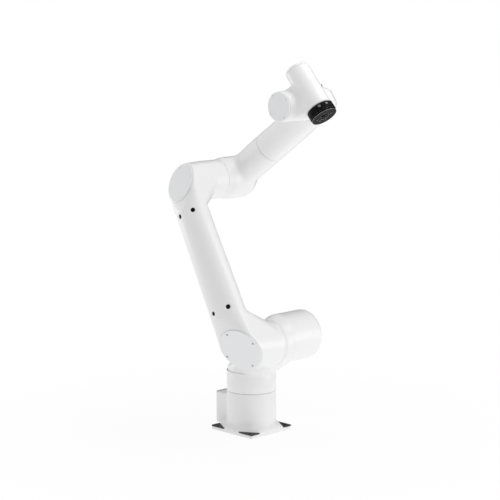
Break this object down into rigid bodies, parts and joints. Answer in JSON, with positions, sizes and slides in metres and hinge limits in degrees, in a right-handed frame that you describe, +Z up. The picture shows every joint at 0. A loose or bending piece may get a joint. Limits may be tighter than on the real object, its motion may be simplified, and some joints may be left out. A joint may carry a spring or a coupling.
{
  "type": "articulated robot arm",
  "caption": "White articulated robot arm of smooth cast links: square floor plate, side-mounted upper arm, offset wrist and black tool flange, with every joint moving.",
  "frame": {"origin": "centre of the floor plate's underside, on the axis of the first joint", "axes": "+Z up along the first joint's axis, +X the way the arm works, +Y the side the forearm stands on"},
  "size_m": [0.6357, 0.3891, 1.3136],
  "materials": {
    "white_paint": "satin white paint on cast aluminium",
    "cap_paint": "satin off-white cover",
    "dark_seal": "matt dark",
    "joint_seal": "matt grey joint seal",
    "black_anodised": "black anodised",
    "screw_steel": "steel"
  },
  "bodies": {
    "base": {"base_casting": "white_paint", "base_corner_pads": "dark_seal", "connector_panel": "dark_seal", "connector_sockets": "black_anodised", "base_bearing": "dark_seal"},
    "turret": {"turret_ring": "white_paint", "shoulder_casting": "white_paint", "shoulder_end_cover": "white_paint", "shoulder_bearing": "joint_seal"},
    "upper_arm": {"upper_arm_casting": "white_paint", "shoulder_cap": "cap_paint", "shoulder_cap_screws": "screw_steel", "elbow_cap": "cap_paint", "elbow_cap_screws": "cap_paint", "arm_plugs": "black_anodised", "elbow_bearing": "joint_seal"},
    "elbow": {"elbow_casting": "white_paint", "elbow_back_cap": "cap_paint", "forearm_bearing": "joint_seal"},
    "forearm": {"forearm_casting": "white_paint", "forearm_end_cap": "cap_paint", "wrist_bearing": "joint_seal"},
    "wrist": {"wrist_casting": "white_paint", "wrist_side_cap": "cap_paint", "wrist_cap_screws": "joint_seal", "wrist_top_cap": "white_paint", "wrist_side_plug": "dark_seal", "flange_bearing": "joint_seal"},
    "flange": {"flange_ring": "black_anodised", "flange_face": "black_anodised", "flange_ports": "screw_steel"}
  },
  "joints": [
    {"name": "turret_turn", "type": "hinge", "parent": "base", "child": "turret", "pos_m": [0, 0, 0.1455], "axis": [0, 0, 1], "range_deg": [-180, 180]},
    {"name": "shoulder_swing", "type": "hinge", "parent": "turret", "child": "upper_arm", "pos_m": [0.152, -0.06, 0.345], "axis": [0, 1, 0], "range_deg": [-82, 137]},
    {"name": "elbow_bend", "type": "hinge", "parent": "upper_arm", "child": "elbow", "pos_m": [-0.132, -0.04, 0.88824], "axis": [0, -1, 0], "range_deg": [-72, 218]},
    {"name": "forearm_roll", "type": "hinge", "parent": "elbow", "child": "forearm", "pos_m": [0.03101, 0.058, 1.00239], "axis": [0.8192, 0, 0.5736], "range_deg": [-180, 180]},
    {"name": "wrist_bend", "type": "hinge", "parent": "forearm", "child": "wrist", "pos_m": [0.26529, 0, 1.16643], "axis": [0, 1, 0], "range_deg": [-264, 95]},
    {"name": "flange_turn", "type": "hinge", "parent": "wrist", "child": "flange", "pos_m": [0.37401, -0.06, 1.16132], "axis": [0.6428, 0, -0.766], "range_deg": [-270, 270]}
  ]
}
